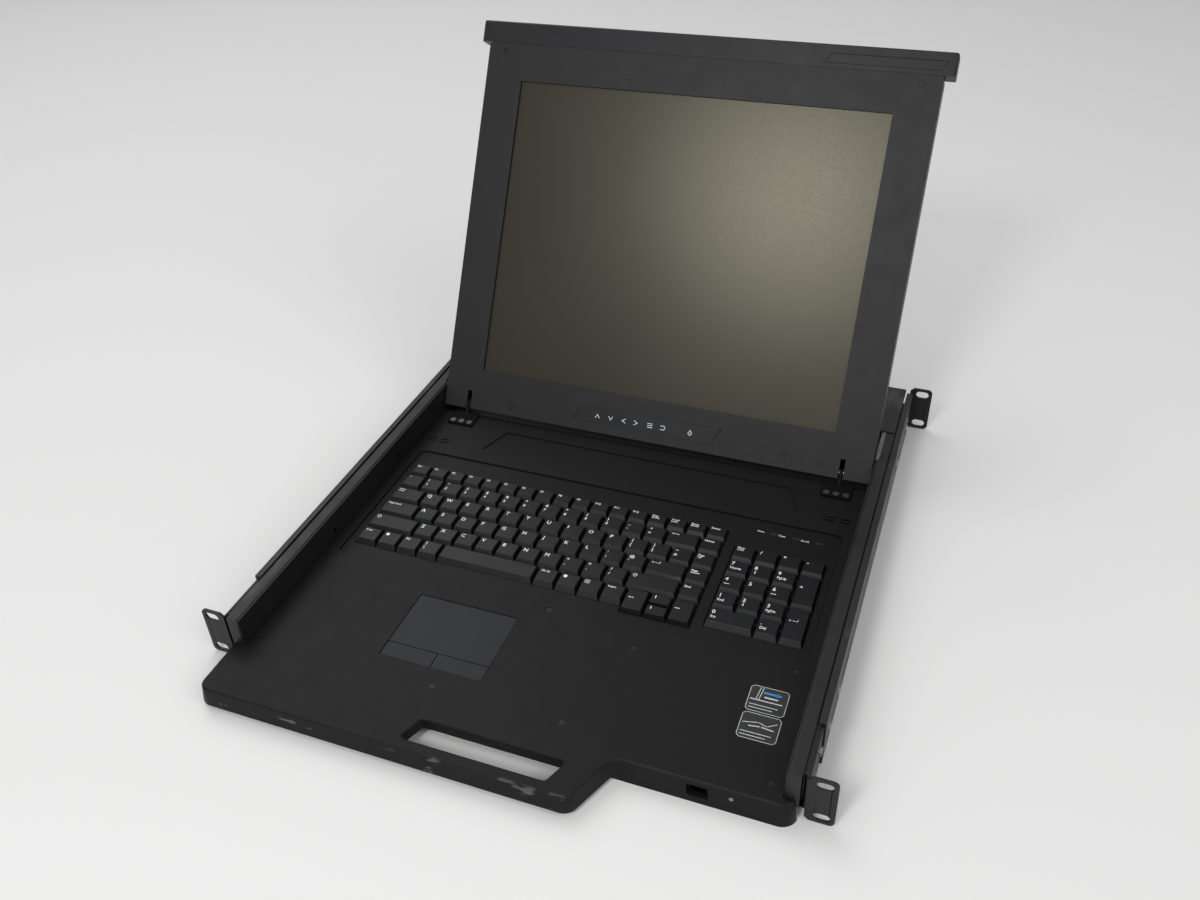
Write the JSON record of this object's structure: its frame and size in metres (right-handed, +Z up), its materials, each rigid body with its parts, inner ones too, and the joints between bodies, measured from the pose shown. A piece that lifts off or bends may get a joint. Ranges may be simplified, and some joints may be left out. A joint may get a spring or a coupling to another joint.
{
  "type": "rackmount lcd console drawer",
  "caption": "Rack drawer with fold-up flat screen, keyboard and touchpad on telescopic slides, with slotted ears front and rear.",
  "frame": {"origin": "centre of the four mounting slots in the front ears, on the ears' front face", "axes": "+Y to the back of the rack, +X to the right seen from the front, +Z up"},
  "size_m": [0.4826, 0.5805, 0.3398],
  "materials": {
    "black_steel": "matt powder coat",
    "rail_steel": "matt powder coat",
    "zinc_steel": "satin zinc",
    "screw_steel": "black zinc",
    "deck_plastic": "fine matt texture",
    "key_plastic": "matt",
    "frame_plastic": "fine matt texture",
    "bezel_plastic": "fine matt texture",
    "display_shell_metal": "matt black",
    "screen_glass": "dark matt glass",
    "backlight_metal": "plain",
    "circuit_board": "board",
    "rubber": "soft",
    "block_rubber": "pale grey",
    "membrane_film": "film",
    "touchpad_plastic": "smooth matt",
    "light_plastic": "clear",
    "socket_plastic": "matt",
    "ball_steel": "polished"
  },
  "bodies": {
    "rack_side": {"rack_rails": "rail_steel", "slide_outer_members": "zinc_steel", "front_bracket_right": "black_steel", "front_bracket_left": "black_steel", "rear_brackets": "black_steel", "bracket_screws": "screw_steel"},
    "outer_cages": {"outer_ball_cages": "ball_steel"},
    "middle_rails": {"slide_middle_members": "zinc_steel"},
    "inner_cages": {"inner_ball_cages": "ball_steel"},
    "display": {"display_bezel": "bezel_plastic", "display_shell": "display_shell_metal", "display_panel": "screen_glass", "display_backlight": "backlight_metal", "display_board": "circuit_board", "panel_brackets": "zinc_steel", "control_strip": "touchpad_plastic", "control_board": "circuit_board", "top_bar": "bezel_plastic", "bar_insert": "deck_plastic", "hinge_cheeks": "zinc_steel", "hinge_pins": "screw_steel", "bezel_screws": "screw_steel"},
    "keys_bottom_row_body": {"keys_bottom_row": "key_plastic"},
    "keys_z_row_body": {"keys_z_row": "key_plastic"},
    "keys_a_row_body": {"keys_a_row": "key_plastic"},
    "keys_q_row_body": {"keys_q_row": "key_plastic"},
    "keys_number_row_body": {"keys_number_row": "key_plastic"},
    "keys_function_row_body": {"keys_function_row": "key_plastic"},
    "space_bar_body": {"space_bar": "key_plastic"},
    "keys_number_pad_body": {"keys_number_pad": "key_plastic"},
    "touchpad_button_left_body": {"touchpad_button_left": "touchpad_plastic"},
    "touchpad_button_right_body": {"touchpad_button_right": "touchpad_plastic"},
    "drawer": {"slide_inner_members": "zinc_steel", "base_pan": "black_steel", "tray_walls": "black_steel", "tray_standoffs": "zinc_steel", "side_cover_left": "black_steel", "side_cover_right": "black_steel", "corner_blocks": "block_rubber", "rear_cover": "black_steel", "rear_panel": "black_steel", "power_inlet": "socket_plastic", "signal_connector": "zinc_steel", "controller_board": "circuit_board", "palm_deck": "deck_plastic", "keyboard_frame": "frame_plastic", "key_guide_plate": "key_plastic", "key_base_plate": "zinc_steel", "keyboard_membrane": "membrane_film", "rubber_domes": "rubber", "touchpad_surface": "touchpad_plastic", "touchpad_board": "circuit_board", "touchpad_spacer": "deck_plastic", "front_port": "zinc_steel", "front_board": "circuit_board", "status_light": "light_plastic", "lock_lights": "light_plastic", "hinge_leaves": "screw_steel", "deck_screws": "screw_steel", "wall_screws": "screw_steel"}
  },
  "joints": [
    {"name": "drawer_slide", "type": "slide", "parent": "rack_side", "child": "drawer", "axis": [0, -1, 0], "range_m": [0, 0.4]},
    {"name": "outer_cage_roll", "type": "slide", "parent": "rack_side", "child": "outer_cages", "axis": [0, -1, 0], "range_m": [0, 0.1]},
    {"name": "middle_slide", "type": "slide", "parent": "rack_side", "child": "middle_rails", "axis": [0, -1, 0], "range_m": [0, 0.2]},
    {"name": "inner_cage_roll", "type": "slide", "parent": "rack_side", "child": "inner_cages", "axis": [0, -1, 0], "range_m": [0, 0.3]},
    {"name": "display_hinge", "type": "hinge", "parent": "drawer", "child": "display", "pos_m": [0, 0.33683, 0.00483], "axis": [1, 0, 0], "range_deg": [0, 120]},
    {"name": "keys_bottom_row_press", "type": "slide", "parent": "drawer", "child": "keys_bottom_row_body", "axis": [0, 0, -1], "range_m": [0, 0.0025], "stiffness_N_per_m": 400, "springref_m": -0.002, "deforming": ["rubber_domes"]},
    {"name": "keys_z_row_press", "type": "slide", "parent": "drawer", "child": "keys_z_row_body", "axis": [0, 0, -1], "range_m": [0, 0.0025], "stiffness_N_per_m": 400, "springref_m": -0.002},
    {"name": "keys_a_row_press", "type": "slide", "parent": "drawer", "child": "keys_a_row_body", "axis": [0, 0, -1], "range_m": [0, 0.0025], "stiffness_N_per_m": 400, "springref_m": -0.002},
    {"name": "keys_q_row_press", "type": "slide", "parent": "drawer", "child": "keys_q_row_body", "axis": [0, 0, -1], "range_m": [0, 0.0025], "stiffness_N_per_m": 400, "springref_m": -0.002},
    {"name": "keys_number_row_press", "type": "slide", "parent": "drawer", "child": "keys_number_row_body", "axis": [0, 0, -1], "range_m": [0, 0.0025], "stiffness_N_per_m": 400, "springref_m": -0.002},
    {"name": "keys_function_row_press", "type": "slide", "parent": "drawer", "child": "keys_function_row_body", "axis": [0, 0, -1], "range_m": [0, 0.0025], "stiffness_N_per_m": 400, "springref_m": -0.002},
    {"name": "space_bar_press", "type": "slide", "parent": "drawer", "child": "space_bar_body", "axis": [0, 0, -1], "range_m": [0, 0.0025], "stiffness_N_per_m": 400, "springref_m": -0.002},
    {"name": "keys_number_pad_press", "type": "slide", "parent": "drawer", "child": "keys_number_pad_body", "axis": [0, 0, -1], "range_m": [0, 0.0025], "stiffness_N_per_m": 400, "springref_m": -0.002},
    {"name": "touchpad_button_left_press", "type": "slide", "parent": "drawer", "child": "touchpad_button_left_body", "axis": [0, 0, -1], "range_m": [0, 0.0005], "stiffness_N_per_m": 600, "springref_m": -0.001},
    {"name": "touchpad_button_right_press", "type": "slide", "parent": "drawer", "child": "touchpad_button_right_body", "axis": [0, 0, -1], "range_m": [0, 0.0005], "stiffness_N_per_m": 600, "springref_m": -0.001}
  ],
  "couplings": [
    {"joint": "outer_cage_roll", "follows": "drawer_slide", "ratio": 0.25},
    {"joint": "middle_slide", "follows": "drawer_slide", "ratio": 0.5},
    {"joint": "inner_cage_roll", "follows": "drawer_slide", "ratio": 0.75}
  ]
}
